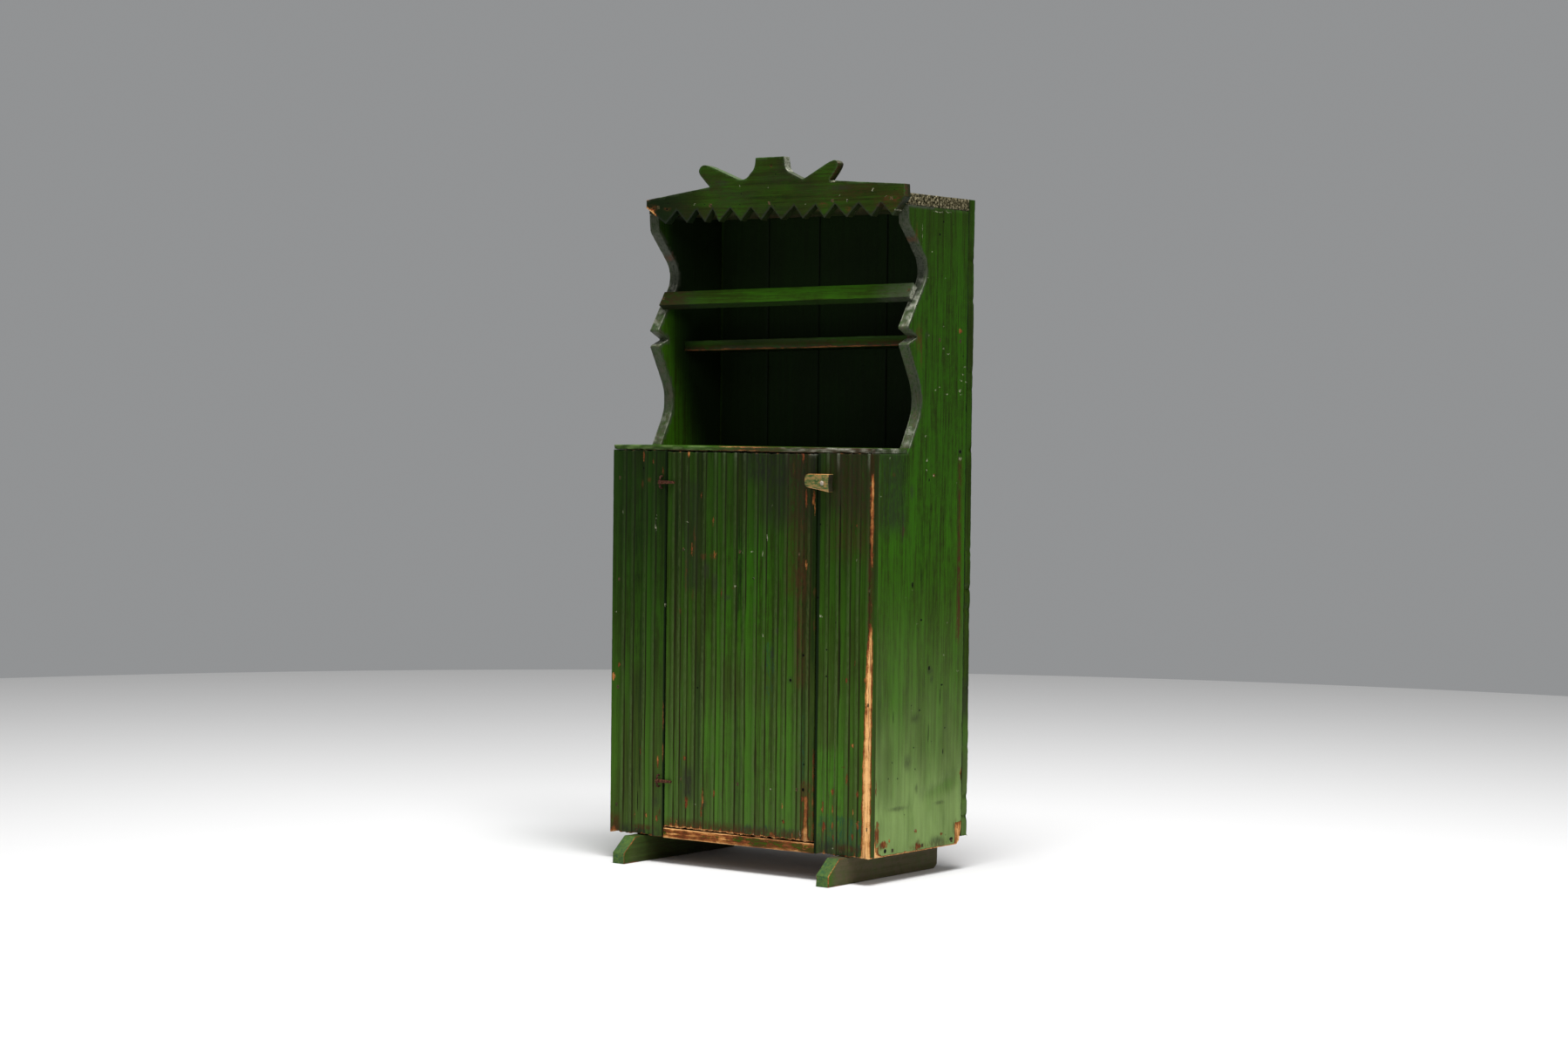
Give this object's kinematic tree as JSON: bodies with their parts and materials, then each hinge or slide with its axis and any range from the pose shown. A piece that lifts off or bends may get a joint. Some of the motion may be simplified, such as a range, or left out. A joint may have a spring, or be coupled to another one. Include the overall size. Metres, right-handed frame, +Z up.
{
  "type": "cupboard",
  "caption": "Narrow country cupboard: open plate rack with scalloped sides and toothed crest over a fluted cupboard with a hinged door and turn button, on skid feet.",
  "frame": {"origin": "on the floor, under the middle of the whole cupboard's outline seen from above", "axes": "+Z up, -Y towards the front of the cupboard, +X to the right as seen from the front"},
  "size_m": [0.657, 0.411, 1.433],
  "materials": {
    "green_painted_pine": "old green paint on hand-planed pine, half gloss, rubbed at the edges",
    "bare_pine": "unpainted aged pine",
    "button_wood": "painted wood worn to ochre",
    "rusty_iron": "rusty hand-forged iron",
    "nail_iron": "old square nails, dull"
  },
  "bodies": {
    "case": {"side_board_left": "green_painted_pine", "side_board_right": "green_painted_pine", "top_board": "green_painted_pine", "crest_board": "green_painted_pine", "plate_rail": "green_painted_pine", "plate_shelf": "green_painted_pine", "counter_board": "green_painted_pine", "floor_board": "green_painted_pine", "front_stile_left": "green_painted_pine", "front_stile_right": "green_painted_pine", "skid_left": "green_painted_pine", "skid_right": "green_painted_pine", "back_board_left": "green_painted_pine", "back_board_mid_left": "green_painted_pine", "back_board_mid_right": "green_painted_pine", "back_board_right": "green_painted_pine", "inner_shelf": "bare_pine", "shelf_cleat_left": "bare_pine", "shelf_cleat_right": "bare_pine", "crest_nails": "nail_iron", "top_nails": "nail_iron", "rail_nails": "nail_iron", "plate_shelf_nails": "nail_iron", "floor_nails": "nail_iron", "counter_nails": "nail_iron", "stile_nails": "nail_iron", "back_nails": "nail_iron", "skid_nails": "nail_iron", "cleat_nails": "nail_iron", "button_nail": "nail_iron", "hinge_staple_upper": "rusty_iron", "hinge_staple_lower": "rusty_iron"},
    "door": {"door_board": "green_painted_pine", "door_batten_upper": "bare_pine", "door_batten_lower": "bare_pine", "batten_nails": "nail_iron", "hinge_strap_upper": "rusty_iron", "hinge_strap_lower": "rusty_iron"},
    "turn_button": {"turn_button": "button_wood"}
  },
  "joints": [
    {"name": "door_hinge", "type": "hinge", "parent": "case", "child": "door", "pos_m": [-0.2025, -0.14805, 0.472], "axis": [0, 0, -1], "range_deg": [0, 165]},
    {"name": "turn_button_pivot", "type": "hinge", "parent": "case", "child": "turn_button", "pos_m": [0.212, -0.1521, 0.782], "axis": [0, 1, 0], "continuous": true}
  ]
}
